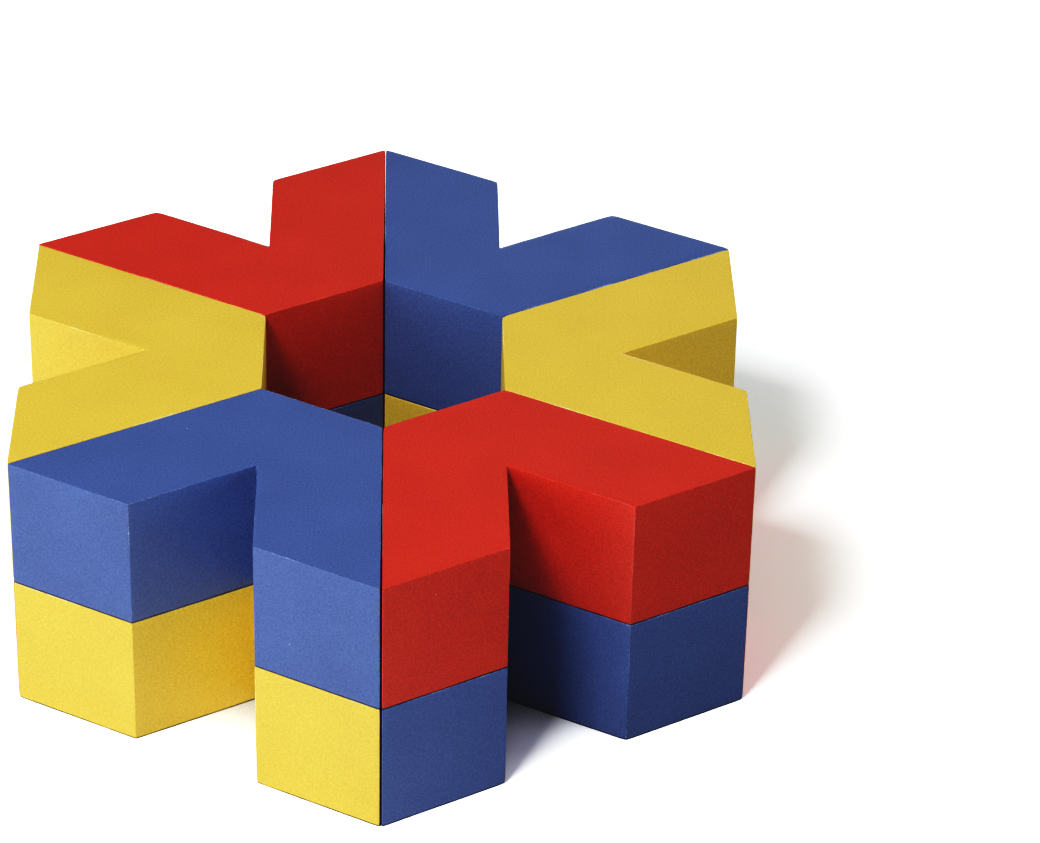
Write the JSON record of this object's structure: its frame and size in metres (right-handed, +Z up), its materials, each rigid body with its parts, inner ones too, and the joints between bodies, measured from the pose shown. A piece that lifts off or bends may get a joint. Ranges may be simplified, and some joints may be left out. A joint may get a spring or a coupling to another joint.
{
  "type": "wooden block puzzle",
  "caption": "V-shaped lacquered wooden blocks stacked in a star-shaped ring around a six-sided well; each block lifts off or pulls out, and blocks nest point to notch.",
  "frame": {"origin": "middle of the ring's footprint, on the table the lower blocks stand on", "axes": "+Z up; -Y is the front, where a seam between two blocks and one point of the star face the viewer; +X to the right. The star is longest along Y, point to point"},
  "size_m": [0.1824, 0.2102, 0.07],
  "materials": {
    "blue_lacquer": "satin cobalt-blue lacquer, fine sprayed stipple, edges lightly sanded",
    "yellow_lacquer": "satin warm-yellow lacquer, fine sprayed stipple, edges lightly sanded",
    "red_lacquer": "satin signal-red lacquer, fine sprayed stipple, edges lightly sanded"
  },
  "bodies": {
    "lower_front_left": {"lower_front_left_block": "yellow_lacquer"},
    "lower_left": {"lower_left_block": "red_lacquer"},
    "lower_back_left": {"lower_back_left_block": "blue_lacquer"},
    "lower_back_right": {"lower_back_right_block": "yellow_lacquer"},
    "lower_right": {"lower_right_block": "red_lacquer"},
    "lower_front_right": {"lower_front_right_block": "blue_lacquer"},
    "upper_front_left": {"upper_front_left_block": "blue_lacquer"},
    "upper_left": {"upper_left_block": "yellow_lacquer"},
    "upper_back_left": {"upper_back_left_block": "red_lacquer"},
    "upper_back_right": {"upper_back_right_block": "blue_lacquer"},
    "upper_right": {"upper_right_block": "yellow_lacquer"},
    "upper_front_right": {"upper_front_right_block": "red_lacquer"}
  },
  "joints": [
    {"name": "lower_left_pull_out", "type": "slide", "parent": "lower_front_left", "child": "lower_left", "axis": [-1, 0, 0], "range_m": [0, 0.07]},
    {"name": "lower_back_left_pull_out", "type": "slide", "parent": "lower_front_left", "child": "lower_back_left", "axis": [-0.5, 0.866, 0], "range_m": [0, 0.07]},
    {"name": "lower_back_right_pull_out", "type": "slide", "parent": "lower_front_left", "child": "lower_back_right", "axis": [0.5, 0.866, 0], "range_m": [0, 0.07]},
    {"name": "lower_right_pull_out", "type": "slide", "parent": "lower_front_left", "child": "lower_right", "axis": [1, 0, 0], "range_m": [0, 0.07]},
    {"name": "lower_front_right_pull_out", "type": "slide", "parent": "lower_front_left", "child": "lower_front_right", "axis": [0.5, -0.866, 0], "range_m": [0, 0.07]},
    {"name": "upper_front_left_lift_off", "type": "slide", "parent": "lower_front_left", "child": "upper_front_left", "axis": [0, 0, 1], "range_m": [0, 0.07]},
    {"name": "upper_left_lift_off", "type": "slide", "parent": "lower_left", "child": "upper_left", "axis": [0, 0, 1], "range_m": [0, 0.07]},
    {"name": "upper_back_left_lift_off", "type": "slide", "parent": "lower_back_left", "child": "upper_back_left", "axis": [0, 0, 1], "range_m": [0, 0.07]},
    {"name": "upper_back_right_lift_off", "type": "slide", "parent": "lower_back_right", "child": "upper_back_right", "axis": [0, 0, 1], "range_m": [0, 0.07]},
    {"name": "upper_right_lift_off", "type": "slide", "parent": "lower_right", "child": "upper_right", "axis": [0, 0, 1], "range_m": [0, 0.07]},
    {"name": "upper_front_right_lift_off", "type": "slide", "parent": "lower_front_right", "child": "upper_front_right", "axis": [0, 0, 1], "range_m": [0, 0.07]}
  ]
}
